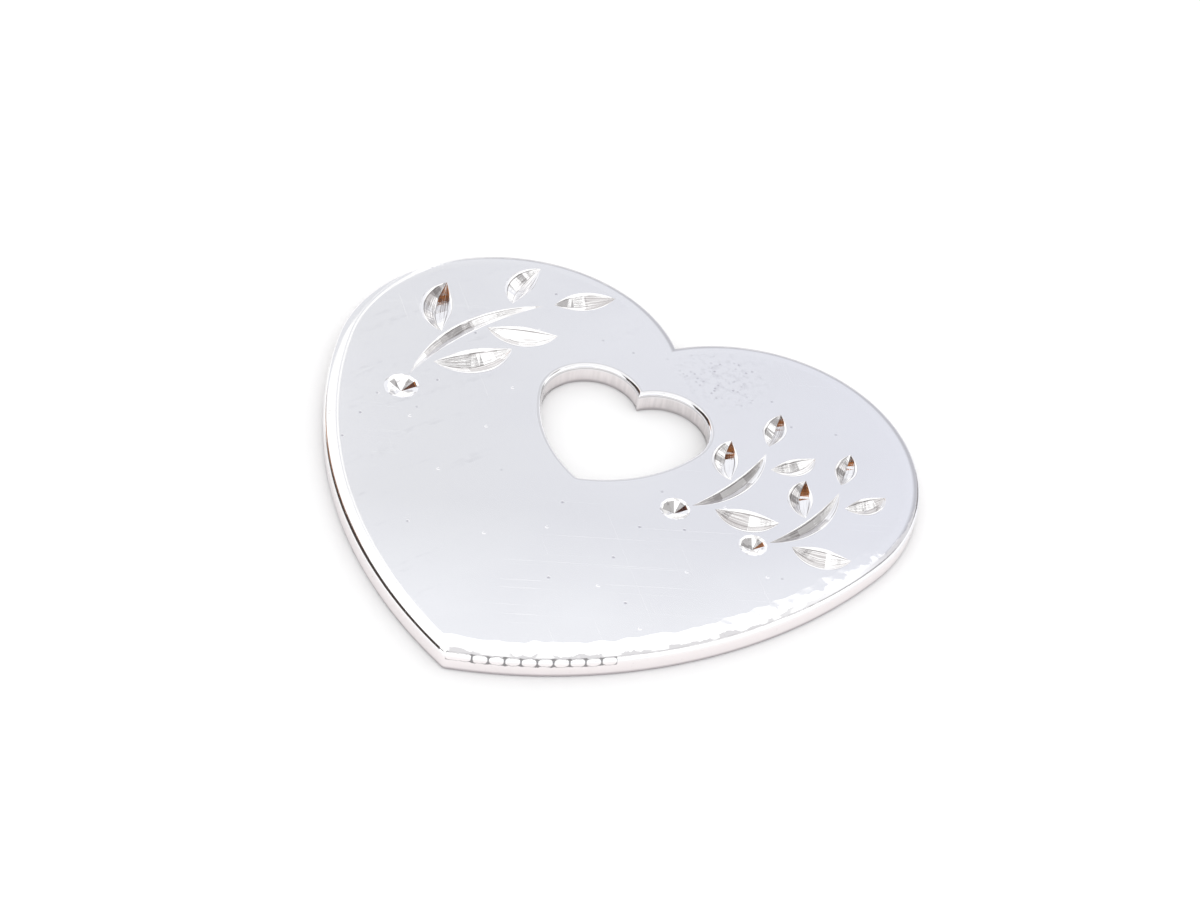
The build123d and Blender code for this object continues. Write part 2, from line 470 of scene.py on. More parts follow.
def stroke_line(start, end, bow, depth):
    """Points of a stroke's line on the face, with the cut's greatest depth as their radius."""
    points = []
    for step in range(STROKE_STEPS + 1):
        (x, y), _ = along_arc(start, end, bow, step / STROKE_STEPS)
        points.append((x, y, THICKNESS))
    return points, depth


stroke_lines = drawn_curve("stroke_lines", [stroke_line(*line) for line in strokes])
values = {"Section": v_section, "Face Height": THICKNESS, "Chatter": CHATTER, "Seed": 4,
          "Weld": WELD, "Material": cut_silver}
stroke_mesh = grown(stroke_lines, stroke_tree(), values, "strokes")
print(len(stroke_mesh.polygons), "faces in", len(strokes), "strokes")

# %% [markdown]
# The pits
# A round pit is drilled by a flat-sided point, which leaves a dozen facets that meet at the bottom. One
# pit is made by turning the half section about its end, and it is set on a point for each pit, scaled
# to that pit's radius.

# %% Tree for the pits
PIT_FACETS = 12


def pit_tree():
    """Tree that sets one faceted pit on each point, scaled by the point's radius."""
    inputs = [("Section", "Object"), ("Facets", "Int"), ("Weld", "Float"), ("Material", "Material")]
    tree, given, result = new_tree("faceted_pits", inputs)
    drawn = add(tree, "GeometryNodeObjectInfo", {"Object": given.outputs["Section"]})
    rim = add(tree, "GeometryNodeCurvePrimitiveCircle",
              {"Resolution": given.outputs["Facets"], "Radius": 1.0})
    cone = add(tree, "GeometryNodeCurveToMesh",
               {"Curve": rim.outputs[0], "Profile Curve": drawn.outputs["Geometry"]})
    flat = add(tree, "GeometryNodeSetShadeSmooth", {"Geometry": cone.outputs[0], "Shade Smooth": False})
    spots = add(tree, "GeometryNodeCurveToPoints", {0: given.outputs["Geometry"]}, {"mode": "EVALUATED"})
    size = add(tree, "GeometryNodeInputRadius")
    placed = add(tree, "GeometryNodeInstanceOnPoints",
                 {"Points": spots.outputs["Points"], "Instance": flat.outputs[0], "Scale": size.outputs[0]})
    real = add(tree, "GeometryNodeRealizeInstances", {"Geometry": placed.outputs[0]})
    welded = add(tree, "GeometryNodeMergeByDistance",
                 {"Geometry": real.outputs[0], "Distance": given.outputs["Weld"]})
    dressed = add(tree, "GeometryNodeSetMaterial",
                  {"Geometry": welded.outputs[0], "Material": given.outputs["Material"]})
    tree.links.new(dressed.outputs[0], result.inputs[0])
    return tree


pit_spots = drawn_curve("pit_spots", [([(x, y, THICKNESS)], radius) for (x, y), radius in pits])
values = {"Section": pit_section, "Facets": PIT_FACETS, "Weld": WELD, "Material": cut_silver}
pit_mesh = grown(pit_spots, pit_tree(), values, "pits")
print(len(pit_mesh.polygons), "faces in", len(pits), "pits")

# %% [markdown]
# One skin for the whole plate
# The rings give the outer edge and the window's wall. The flat faces are triangulated between the
# loops that bound them: the outermost flat ring, the window's flat ring, and the rim of every cut. They
# share their points, so welding joins them into one skin. Only beside the press marks, which also pull
# the flat ring down by up to 0.004 mm, a seam stays open, and its edges are counted below.

# %% Build the plate
FACE, EDGE, CUT = 0, 1, 2


def ring_wall(mesh, outline, section, material):
    """Joins one ring for each (inset, height) pair by smooth four-sided faces."""
    rings = []
    for inset, height in section:
        rings.append([mesh.verts.new((x, y, height)) for x, y in outline.ring(inset)])
    for low, high in zip(rings, rings[1:]):
        for here in range(len(low)):
            after = (here + 1) % len(low)
            face = mesh.faces.new((low[here], low[after], high[after], high[here]))
            face.material_index = material
            face.smooth = True


def press_marks(mesh):
    """Pushes the tight rounding in at each gap between two beads."""
    middle = THICKNESS - ROLL_DROP - EDGE_ROUND / 2
    centre = Vector((plate_outline.side_x, plate_outline.side_y + TIP_Y))
    for vertex in mesh.verts:
        inside = abs(vertex.co.z - middle) / EDGE_ROUND
        if inside < 1 and vertex.co.y < 0:
            gap = gap_at(vertex.co.x, vertex.co.y) * math.cos(inside * math.pi / 2)
            push = (centre - vertex.co.to_2d()).normalized() * GAP_DEPTH * gap
            vertex.co += Vector((push.x, push.y, -GAP_DEPTH * gap))


def boundary_loops(mesh):
    """Ordered points of every open border of a mesh."""
    loops = []
    todo = {v for e in mesh.edges if e.is_boundary for v in e.verts}
    while todo:
        vertex = min(todo, key=lambda v: v.index)
        loop = []
        while vertex is not None:
            loop.append(vertex.co.to_2d())
            todo.discard(vertex)
            beside = [e.other_vert(vertex) for e in vertex.link_edges if e.is_boundary]
            vertex = next((v for v in beside if v in todo), None)
        loops.append(loop)
    return loops


def fill_flat(mesh, loops, height, material):
    """Flat triangles at one height, inside the first loop and outside all the others."""
    points = [Vector(p) / MM for loop in loops for p in loop]
    edges = []
    for loop in loops:
        first = len(edges)
        edges += [(first + here, first + (here + 1) % len(loop)) for here in range(len(loop))]
    made, _, triangles, *_ = geometry.delaunay_2d_cdt(points, edges, [], 0, 1e-6)
    spots = np.array([p[:] for p in made])
    middles = spots[np.array(triangles)].mean(axis=1)
    inside = np.zeros(len(middles), bool)
    for a, b in edges:
        (ax, ay), (bx, by) = points[a], points[b]
        spans = (ay > middles[:, 1]) != (by > middles[:, 1])
        if ay != by:
            crossing = ax + (middles[:, 1] - ay) * (bx - ax) / (by - ay)
            inside ^= spans & (middles[:, 0] < crossing)
    corners = [mesh.verts.new((p[0] * MM, p[1] * MM, height)) for p in made]
    for keep, triangle in zip(inside, triangles):
        if keep:
            face = mesh.faces.new([corners[i] for i in triangle])
            face.material_index = material


def add_patch(mesh, patch, material):
    """Adds an open patch of cuts, and returns the loops of its border."""
    known = len(mesh.faces)
    mesh.from_mesh(patch)
    mesh.faces.ensure_lookup_table()
    for face in mesh.faces[known:]:
        face.material_index = material
    alone = bmesh.new()
    alone.from_mesh(patch)
    loops = boundary_loops(alone)
    alone.free()
    return loops


skin = bmesh.new()
cut_loops = add_patch(skin, stroke_mesh, CUT) + add_patch(skin, pit_mesh, CUT)
ring_wall(skin, plate_outline, outer_section(), EDGE)
press_marks(skin)
ring_wall(skin, window_outline, window_section(), EDGE)
top_loops = [plate_outline.ring(outer_section()[-1][0]), window_outline.ring(window_section()[-1][0])]
fill_flat(skin, top_loops + cut_loops, THICKNESS, FACE)
low_loops = [plate_outline.ring(outer_section()[0][0]), window_outline.ring(window_section()[0][0])]
fill_flat(skin, low_loops, 0, FACE)
bmesh.ops.remove_doubles(skin, verts=skin.verts, dist=WELD)
bmesh.ops.dissolve_degenerate(skin, edges=skin.edges, dist=WELD / 5)
loose = [v for v in skin.verts if not v.link_faces]
bmesh.ops.delete(skin, geom=loose, context="VERTS")
bmesh.ops.recalc_face_normals(skin, faces=skin.faces)
open_edges = [e for e in skin.edges if len(e.link_faces) != 2]
print("open or doubled edges:", len(open_edges), "volume in mm3:", round(skin.calc_volume() / MM**3, 1))

plate_mesh = bpy.data.meshes.new("silver_heart")
skin.to_mesh(plate_mesh)
skin.free()
for material in (face_silver, edge_silver, cut_silver):
    plate_mesh.materials.append(material)
plate = bpy.data.objects.new("silver_heart", plate_mesh)
bpy.context.scene.collection.objects.link(plate)
for helper in (stroke_lines, pit_spots, v_section, pit_section):
    bpy.data.objects.remove(helper)
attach(plate, "root")
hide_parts("heart_plate")
print(len(plate_mesh.polygons), "faces in the plate")

# %% [markdown]
# Polished silver
# A mirror has hardly any colour of its own: it shows the room, and the little it adds decides whether
# it looks real. So each finish starts as plain metal and gets what polishing and handling leave:
# hairline scratches, pinpricks, cloudy smudges, and a slow waviness that bends reflections. All the
# patterns read the plate's own coordinates in millimetres, so their sizes can be checked with a ruler.
# Colours run from bare silver to the greys that residue and shade leave.

# %% Helpers for the finishes
def metal(material):
    """Makes a material a bare metal, and returns its tree, its shader and the place in millimetres."""
    material.use_nodes = True
    tree = material.node_tree
    shader = tree.nodes["Principled BSDF"]
    shader.inputs["Metallic"].default_value = 1.0
    place = add(tree, "ShaderNodeTexCoord").outputs["Object"]
    in_mm = add(tree, "ShaderNodeVectorMath", {0: place, "Scale": 1 / MM}, {"operation": "SCALE"})
    return tree, shader, in_mm.outputs[0]


def along(tree, place, angle, size):
    """Turns a place and divides it by a size, so that a pattern read there lies along the angle."""
    turned = add(tree, "ShaderNodeMapping", {"Vector": place, "Rotation": (0, 0, angle), "Scale": size},
                 {"vector_type": "TEXTURE"})
    return turned.outputs[0]


def noise(tree, place, scale, detail=2.0):
    """Soft noise from 0 to 1; its features are about one over the scale across."""
    return add(tree, "ShaderNodeTexNoise", {"Vector": place, "Scale": scale, "Detail": detail}).outputs[0]


def remap(tree, value, low, high, to_low=0.0, to_high=1.0):
    """Maps a range of values onto another one, and holds what lies outside at the ends."""
    ends = {"Value": value, "From Min": low, "From Max": high, "To Min": to_low, "To Max": to_high}
    return add(tree, "ShaderNodeMapRange", ends).outputs[0]


def either(tree, first, second):
    """The stronger of two masks."""
    return math_node(tree, "MAXIMUM", first, second)


def dye(tree, share, first, second):
    """Colour between two others."""
    mixed = add(tree, "ShaderNodeMix", {0: share, 6: first, 7: second}, {"data_type": "RGBA"})
    return mixed.outputs[2]


def stained(tree, tone, colour, strength, *masks):
    """Tone that turns into a colour, up to a strength, where all the masks lie."""
    return dye(tree, both(tree, *masks, strength), tone, colour)


def raised(tree, height, tall, under=None):
    """Normal of a surface whose height, from 0 to 1, stands for so many metres."""
    links = {"Height": height, "Distance": tall}
    if under is not None:
        links["Normal"] = under
    return add(tree, "ShaderNodeBump", links).outputs[0]


def dots(tree, place, spacing, size, share):
    """Mask of round dots of a size in millimetres, in some share of the cells of a loose grid."""
    cells = add(tree, "ShaderNodeTexVoronoi", {"Vector": place, "Scale": 1 / spacing},
                {"voronoi_dimensions": "2D"})
    dot = remap(tree, cells.outputs["Distance"], size / spacing / 4, size / spacing / 2, 1.0, 0.0)
    pick = add(tree, "ShaderNodeSeparateColor", {0: cells.outputs["Color"]}).outputs[0]
    return both(tree, dot, math_node(tree, "LESS_THAN", pick, share))


def axes(tree, place):
    """The three coordinates of a place."""
    return add(tree, "ShaderNodeSeparateXYZ", {0: place}).outputs[:3]


def flattened(tree, place):
    """A place without its height."""
    return add(tree, "ShaderNodeVectorMath", {0: place, 1: (1, 1, 0)}, {"operation": "MULTIPLY"}).outputs[0]


# %% [markdown]
# Painted reflection and wear that run over the border
# Two things don't stop where the face meets the edge, so both finishes use them. The silver's colour is
# a painted reflection, brightest near the tip and bluish towards the right lobe. And the buffing wheel has
# drawn down a belt right of the tip, with a ragged inner border, which tilts the mirror towards the bright
# side of the room.

# %% Painted reflection tone and belt
# These silvers paint a reflection into the colour: dim, bluish, and bright near the tip.
DIM_REFLECTION_SILVER = (0.84, 0.838, 0.838, 1)
BLUE_REFLECTION_SILVER = (0.833, 0.835, 0.872, 1)
BRIGHT_REFLECTION_SILVER = (0.95, 0.95, 0.952, 1)
BELT_DEPTH = 0.065 * MM
BELT_INSETS = (0.45, 1.35)
BELT_RAGGED = 0.12
BELT_START, BELT_FULL, BELT_FADES, BELT_END = -0.3, 0.5, 26.0, 31.0


def silver_with_painted_reflection(tree, place):
    """Silver colour with a painted reflection: brightest near the tip, and a trace of blue at the right
    lobe.
    """
    x, y, _ = axes(tree, place)
    to_lobe = math_node(tree, "ADD", x, both(tree, y, 0.6))
    dim_to_blue_reflection = dye(tree, remap(tree, to_lobe, -10.0, 24.0), DIM_REFLECTION_SILVER, BLUE_REFLECTION_SILVER)
    to_tip = less(tree, both(tree, x, 0.45), y)
    return dye(tree, remap(tree, to_tip, 4.0, 13.0), dim_to_blue_reflection, BRIGHT_REFLECTION_SILVER)


def edge_place(tree, place):
    """How far along the right side arc from the tip, and how far in from it, in millimetres."""
    centre = (plate_outline.side_x / MM, (plate_outline.side_y + TIP_Y) / MM, 0)
    radius = plate_outline.side / MM
    off = add(tree, "ShaderNodeVectorMath", {0: flattened(tree, place), 1: centre},
              {"operation": "SUBTRACT"}).outputs[0]
    x, y, _ = axes(tree, off)
    turn = math_node(tree, "ARCTAN2", y, x)
    run = both(tree, less(tree, turn, plate_outline.tip_angle), radius)
    reach = add(tree, "ShaderNodeVectorMath", {0: off}, {"operation": "LENGTH"}).outputs["Value"]
    return run, less(tree, radius, reach)


def belt(tree, place, under=None):
    """Normal of the belt that the buffing wheel has drawn down."""
    run, inset = edge_place(tree, place)
    shift = remap(tree, noise(tree, place, 1.2, 0.0), 0.25, 0.75, -BELT_RAGGED, BELT_RAGGED)
    ragged = math_node(tree, "ADD", inset, shift)
    right = both(tree, remap(tree, run, BELT_START, BELT_FULL), remap(tree, run, BELT_END, BELT_FADES))
    worn = both(tree, remap(tree, ragged, *BELT_INSETS, 1.0, 0.0), right)
    return raised(tree, worn, -BELT_DEPTH, under)


# %% [markdown]
# The face
# The face is a mirror that has been handled. Smudges make it cloudy in places, hairlines run in two
# main directions from wiping, dust lies in streaks on the left, and pinpricks crowd to the right of the
# notch, where the plating is pitted.

# %% Finish of the face
SMUDGED = (0.76, 0.76, 0.785, 1)
PRICKED = (0.34, 0.33, 0.38, 1)
DUSTY = (0.5, 0.49, 0.53, 1)
PITTED_SPOT = (3.9, 12.6, THICKNESS / MM)
DUST_ANGLE, DUST_SIZE = math.radians(62), (4.0, 0.5, 1)
HAIR_ANGLE, HAIR_SIZE = math.radians(28), (14.0, 0.07, 1)
CROSS_ANGLE, CROSS_SIZE = math.radians(-47), (9.0, 0.06, 1)


def prick_masks(tree, place, cloud):
    """Pinpricks, in the crowd and strayed, and the blotches that lie between those of the crowd."""
    far = add(tree, "ShaderNodeVectorMath", {0: place, 1: PITTED_SPOT},
              {"operation": "DISTANCE"}).outputs["Value"]
    crowd = remap(tree, far, 0.9, 3.6, 1.0, 0.0)
    ragged = both(tree, crowd, remap(tree, noise(tree, place, 1.1, 4.0), 0.46, 0.6))
    pricks = both(tree, dots(tree, place, 0.34, 0.22, 0.5), ragged)
    stray = both(tree, dots(tree, place, 2.3, 0.24, 0.22), remap(tree, cloud, 0.44, 0.56, 0.3, 0.9))
    blotch = both(tree, crowd, remap(tree, noise(tree, place, 2.2, 3.0), 0.48, 0.66))
    return either(tree, pricks, stray), blotch


def dust_mask(tree, place):
    """Streaks of dust on the left half."""
    x, _, _ = axes(tree, place)
    streaks = remap(tree, noise(tree, along(tree, place, DUST_ANGLE, DUST_SIZE), 1.0, 4.0), 0.56, 0.78)
    uneven = remap(tree, noise(tree, place, 1.9, 3.0), 0.45, 0.62)
    return both(tree, streaks, remap(tree, x, 0.0, -8.0), uneven)


def hairline_mask(tree, place):
    """Hairlines in two directions, which show only where the face was wiped."""
    hair = noise(tree, along(tree, place, HAIR_ANGLE, HAIR_SIZE), 1.0, 0.0)
    cross = noise(tree, along(tree, place, CROSS_ANGLE, CROSS_SIZE), 1.0, 0.0)
    scored = either(tree, remap(tree, hair, 0.74, 0.84), remap(tree, cross, 0.76, 0.86))
    return both(tree, scored, remap(tree, noise(tree, place, 0.19, 2.0), 0.5, 0.6))


def finish_face():
    """Handled mirror finish."""
    tree, shader, place = metal(face_silver)
    cloud = noise(tree, place, 0.16, 4.0)
    smudge = remap(tree, cloud, 0.42, 0.68)
    marks, blotch = prick_masks(tree, place, cloud)
    hairlines = hairline_mask(tree, place)

    tone = stained(tree, silver_with_painted_reflection(tree, place), SMUDGED, 0.3, smudge)
    tone = stained(tree, tone, PRICKED, 0.58, either(tree, marks, both(tree, blotch, 0.3)))
    tone = stained(tree, tone, DUSTY, 0.2, dust_mask(tree, place))
    tree.links.new(tone, shader.inputs["Base Color"])

    rough = remap(tree, cloud, 0.3, 0.7, 0.07, 0.15)
    worn = add(tree, "ShaderNodeMath", {0: hairlines, 1: 0.12, 2: rough}, {"operation": "MULTIPLY_ADD"})
    tree.links.new(worn.outputs[0], shader.inputs["Roughness"])

    wavy = raised(tree, noise(tree, place, 0.22, 1.0), 0.012 * MM)
    lined = raised(tree, hairlines, -0.0006 * MM, wavy)
    pitted = raised(tree, marks, -0.005 * MM, lined)
    nicked = raised(tree, dots(tree, place, 4.1, 0.24, 0.4), 0.016 * MM, pitted)
    tree.links.new(belt(tree, place, nicked), shader.inputs["Normal"])


finish_face()
print("nodes in the face's finish:", len(face_silver.node_tree.nodes))

# %% [markdown]
# The edge
# The rounded edges were buffed by hand on a wheel, so they are brighter than the face and a little
# uneven along their length. The wall below is painted a touch pink, a painted reflection of the floor,
# and darker at its foot, a painted contact shadow. Grey lines are painted wherever one surface turns into
# another: painted shade round the window and along the foot of the roll-off right of the tip, where it
# also outlines the bar and the beads, and a painted reflection along the far rim and in a broken strip
# above the near line. The window's wall is painted a streaky grey shade.

# %% Finish of the edge
# Painted reflection: the pink that the wall takes from the floor.
PINK_FLOOR_REFLECTION = (0.955, 0.905, 0.905, 1)
# Painted contact shadow at the foot of the wall.
FOOT_CONTACT_SHADOW = (0.46, 0.42, 0.44, 1)
SPECKLED = (0.6, 0.56, 0.56, 1)
# Painted shade on the window's wall, and painted shade lines at its rim.
WINDOW_WALL_SHADE = (0.6, 0.575, 0.575, 1)
WINDOW_RIM_SHADE = (0.42, 0.4, 0.4, 1)
FAR_RIM_REFLECTION = (0.5, 0.49, 0.51, 1)
NEAR_SHADE_LINE = (0.36, 0.34, 0.36, 1)
NEAR_REFLECTION_STRIP = (0.56, 0.55, 0.565, 1)
BEAD_GAP_SHADE = (0.16, 0.155, 0.16, 1)
GRAIN_SIZE = (0.25, 0.25, 2.5)
WINDOW_MIDDLE = (0, WINDOW_TIP_Y / MM + 5.2, 0)
WINDOW_REACH = (6.6, 7.2)
TOP_Z = THICKNESS / MM
RIM_FOOT = (THICKNESS - WINDOW_RIM) / MM
ROLL_FOOT = (THICKNESS - ROLL_DROP) / MM
ROLL_FOOT_INSET = TURN_INSET / MM
BAR_MM, PITCH_MM, ROW_MM = BAR_END / MM, BEAD_PITCH / MM, BEADS_END / MM
BEAD_MIDDLE = 0.35
BEAD_HALF = 0.3


def bead_outlines(tree, place, run, fall):
    """Painted shade outlining the bar and the beads, dark in the gaps and thin above and below.

    The run goes along the edge from the tip, and the fall goes down it from the foot of the roll-off.
    """
    bar_share = math_node(tree, "DIVIDE", apart(tree, run, BAR_MM / 2), BAR_MM / 2)
    cell = math_node(tree, "DIVIDE", less(tree, run, BAR_MM), PITCH_MM)
    bead_share = both(tree, apart(tree, math_node(tree, "FRACT", cell), 0.5), 2.0)
    in_bar = math_node(tree, "LESS_THAN", run, BAR_MM)
    blend = {"data_type": "FLOAT"}
    share = add(tree, "ShaderNodeMix", {0: in_bar, 2: bead_share, 3: bar_share}, blend).outputs[0]
    squareness = add(tree, "ShaderNodeMix", {0: in_bar, 2: 3.0, 3: 12.0}, blend).outputs[0]
    uneven = remap(tree, noise(tree, place, 3.4, 2.0), 0.3, 0.7, -0.05, 0.05)
    lift = apart(tree, math_node(tree, "ADD", fall, uneven), BEAD_MIDDLE)
    lift_share = math_node(tree, "DIVIDE", lift, BEAD_HALF)
    fullness = math_node(tree, "POWER", math_node(tree, "DIVIDE", share, 0.93), squareness)
    shape = math_node(tree, "ADD", fullness, math_node(tree, "POWER", lift_share, 2.6))
    row = both(tree, remap(tree, run, 0.05, 0.12), remap(tree, run, ROW_MM, ROW_MM - 0.06))
    rim = both(tree, remap(tree, shape, 0.78, 1.05), remap(tree, lift_share, 1.05, 1.15, 1.0, 0.0))
    return both(tree, row, rim, remap(tree, share, 0.45, 0.85, 0.6, 1.0))


def window_masks(tree, place, x, height):
    """Where the window is, and painted shade: streaks on its wall, and lines above and below its rounded
    rim.
    """
    reach = add(tree, "ShaderNodeVectorMath", {0: flattened(tree, place), 1: WINDOW_MIDDLE},
                {"operation": "DISTANCE"}).outputs["Value"]
    window = remap(tree, reach, *WINDOW_REACH, 1.0, 0.0)
    grain = remap(tree, noise(tree, along(tree, place, 0.0, GRAIN_SIZE), 1.0, 3.0), 0.35, 0.65, 0.5, 1.0)
    streaks = both(tree, grain, remap(tree, x, -4.0, 4.5, 0.45, 1.0))
    below = remap(tree, apart(tree, height, RIM_FOOT), 0.015, 0.04, 1.0, 0.0)
    above = remap(tree, height, TOP_Z - 0.022, TOP_Z - 0.01, 0.0, 0.35)
    return window, streaks, either(tree, below, above)


def far_rim(tree, x, y, height):
    """Painted reflection: a grey line along the foot of the roll-off, on the lobes' far side."""
    far_side = remap(tree, math_node(tree, "ADD", y, both(tree, x, 0.35)), 6.5, 10.5)
    from_below = remap(tree, height, ROLL_FOOT - 0.06, ROLL_FOOT - 0.02)
    from_above = remap(tree, height, ROLL_FOOT + 0.03, ROLL_FOOT + 0.06, 1.0, 0.0)
    return both(tree, from_below, from_above, far_side)


def near_shade_and_reflection(tree, place, fall):
    """Painted shade line at the foot of the roll-off, and a broken strip of painted reflection with a ragged
    crest just above it.
    """
    patchy = remap(tree, noise(tree, place, 1.4, 1.0), 0.35, 0.5, 0.45, 1.0)
    line = both(tree, remap(tree, math_node(tree, "ABSOLUTE", fall), 0.025, 0.06, 1.0, 0.0), patchy)
    crest = remap(tree, noise(tree, place, 1.3, 2.0), 0.3, 0.7, -0.42, -0.08)
    below_crest = remap(tree, less(tree, fall, crest), -0.02, 0.02)
    dashes = remap(tree, noise(tree, place, 0.8, 1.0), 0.4, 0.48)
    return line, both(tree, below_crest, remap(tree, fall, 0.03, 0.0), dashes)


def finish_edge():
    """Buffed finish of the roll-off, the walls and the window's rim."""
    tree, shader, place = metal(edge_silver)
    x, y, height = axes(tree, place)
    run, inset = edge_place(tree, place)
    fall = less(tree, ROLL_FOOT + ROLL_FOOT_INSET, math_node(tree, "ADD", height, inset))

    low = remap(tree, height, 0.95, 1.2, 1.0, 0.0)
    # Painted contact shadow: the wall darkens below 0.3 mm.
    contact_shadow_mask = remap(tree, height, 0.12, 0.3, 1.0, 0.0)
    specks = remap(tree, noise(tree, place, 7.0, 2.0), 0.68, 0.78)
    # Painted reflection: the wall below the rounded rim is tinted pink.
    tone = dye(tree, low, silver_with_painted_reflection(tree, place), PINK_FLOOR_REFLECTION)
    tone = stained(tree, tone, FOOT_CONTACT_SHADOW, 0.9, contact_shadow_mask)
    tone = stained(tree, tone, SPECKLED, 0.35, specks)

    window, streaks, rim_shade_line = window_masks(tree, place, x, height)
    # Painted shade: a streaky grey on the window's wall, and grey lines above and below its rim.
    tone = stained(tree, tone, WINDOW_WALL_SHADE, 0.8, window, low, streaks)
    tone = stained(tree, tone, WINDOW_RIM_SHADE, 0.75, rim_shade_line, window)
    # Painted reflection: a grey line along the far rim.
    tone = stained(tree, tone, FAR_RIM_REFLECTION, 0.8, far_rim(tree, x, y, height), less(tree, 1.0, window))

    # Painted shade line and a painted reflection strip along the roll-off right of the tip.
    right = both(tree, remap(tree, run, 0.1, 0.3), remap(tree, run, 26.0, 19.0))
    line, strip = near_shade_and_reflection(tree, place, fall)
    tone = stained(tree, tone, NEAR_SHADE_LINE, 0.7, line, right)
    tone = stained(tree, tone, NEAR_REFLECTION_STRIP, 0.85, strip, right)
    # Painted shade in the gaps between the beads and round the bar.
    tone = stained(tree, tone, BEAD_GAP_SHADE, 0.85, bead_outlines(tree, place, run, fall))
    tree.links.new(tone, shader.inputs["Base Color"])

    rough = remap(tree, noise(tree, place, 0.9, 3.0), 0.3, 0.7, 0.04, 0.11)
    tree.links.new(rough, shader.inputs["Roughness"])
    ripple = both(tree, noise(tree, place, 1.6, 1.0), remap(tree, run, 0.0, 1.0), 0.5)
    uneven = math_node(tree, "ADD", ripple, both(tree, noise(tree, place, 0.5, 1.0), 0.3))
    wavy = raised(tree, uneven, 0.03 * MM, belt(tree, place))
    tree.links.new(raised(tree, specks, -0.004 * MM, wavy), shader.inputs["Normal"])


finish_edge()
print("nodes in the edge's finish:", len(edge_silver.node_tree.nodes))

# %% [markdown]
# The bright cuts
# The tool leaves the cuts brighter than any polish, but its edge has tiny nicks, and each nick draws a
# fine line along the whole wall. The pattern follows the stroke: it is stretched along the length that
# the tree stored, and changes quickly across, so the lines bend with every leaf and stem. Some lengths
# of wall are streaked grey from end to end, and painted shade lies in the crease and along the lips.

# %% Finish of the cuts
BRIGHT_CUT = (0.975, 0.97, 0.97, 1)
SCORED = (0.46, 0.43, 0.43, 1)
STREAKED = (0.4, 0.375, 0.375, 1)
GRIMY = (0.35, 0.33, 0.33, 1)
CREASE_SHADE = (0.2, 0.18, 0.18, 1)
FACET_LENGTH = 2.2 * MM
WHITE_FACETS = 0.62
lip_run = sum(math.dist(a, b) for a, b in zip(right_half, right_half[1:]))
wall_run = math.dist(right_half[-1], (0, 1))
LIP_SHARE = 0.5 * wall_run / (wall_run + lip_run)


def drawn_lines(tree, off_centre):
    """Painted shade lines in the crease, where the lips meet the walls, and fainter along the outer rim."""
    seam = remap(tree, apart(tree, off_centre, LIP_SHARE), 0.008, 0.026, 1.0, 0.0)
    crease = remap(tree, off_centre, 0.0, 0.02, 1.0, 0.0)
    outline = both(tree, remap(tree, off_centre, 0.47, 0.49), 0.5)
    return either(tree, either(tree, seam, crease), outline)


def grey_walls(tree, run, number, across):
    """Lengths of wall, picked by lot on either side of each stroke, that are streaked grey."""
    side = math_node(tree, "SIGN", less(tree, across, 0.5))
    part = math_node(tree, "FLOOR", both(tree, run, 1 / FACET_LENGTH))
    facet = add(tree, "ShaderNodeCombineXYZ",
                {"X": part, "Y": side, "Z": math_node(tree, "ROUND", number)}).outputs[0]
    lot = add(tree, "ShaderNodeTexWhiteNoise", {"Vector": facet}, {"noise_dimensions": "3D"})
    return math_node(tree, "GREATER_THAN", lot.outputs["Value"], WHITE_FACETS)


def finish_cuts():
    """Freshly cut finish with the tool's lines along each stroke."""
    tree, shader, place = metal(cut_silver)
    stored = add(tree, "ShaderNodeAttribute", {}, {"attribute_name": "stroke_place"}).outputs["Vector"]
    run, _, number = axes(tree, stored)
    across = add(tree, "ShaderNodeAttribute", {}, {"attribute_name": "across"}).outputs["Fac"]
    off_centre = apart(tree, across, 0.5)
    in_stroke = math_node(tree, "GREATER_THAN", math_node(tree, "ADD", run, number), 1e-6)
    stroke_place = add(tree, "ShaderNodeCombineXYZ",
                       {"X": both(tree, run, 0.45 / MM), "Y": both(tree, across, 34.0),
                        "Z": both(tree, number, 5.3)}).outputs[0]
    lines = noise(tree, stroke_place, 1.0, 3.0)

    fine = remap(tree, lines, 0.5, 0.62)
    broad = remap(tree, noise(tree, place, 0.55, 2.0), 0.42, 0.58)
    tone = stained(tree, BRIGHT_CUT, SCORED, 0.6, fine, broad)
    on_wall = remap(tree, off_centre, LIP_SHARE - 0.012, LIP_SHARE - 0.004, 1.0, 0.0)
    grey = both(tree, grey_walls(tree, run, number, across), on_wall, in_stroke)
    tone = stained(tree, tone, STREAKED, 0.8, grey, remap(tree, lines, 0.4, 0.56, 0.25, 1.0))
    grime = remap(tree, noise(tree, place, 2.4, 3.0), 0.53, 0.6)
    tone = stained(tree, tone, GRIMY, 0.5, less(tree, 1.0, in_stroke), grime)
    patchy = remap(tree, noise(tree, place, 0.8, 2.0), 0.34, 0.5)
    # Painted shade: dark lines in the crease, at the lips' seams and along the rim.
    tone = stained(tree, tone, CREASE_SHADE, 0.85, drawn_lines(tree, off_centre), in_stroke, patchy)

    tree.links.new(tone, shader.inputs["Base Color"])
    tree.links.new(remap(tree, lines, 0.3, 0.7, 0.03, 0.12), shader.inputs["Roughness"])
    tree.links.new(raised(tree, lines, 0.004 * MM), shader.inputs["Normal"])


finish_cuts()
print("nodes in the cuts' finish:", len(cut_silver.node_tree.nodes))

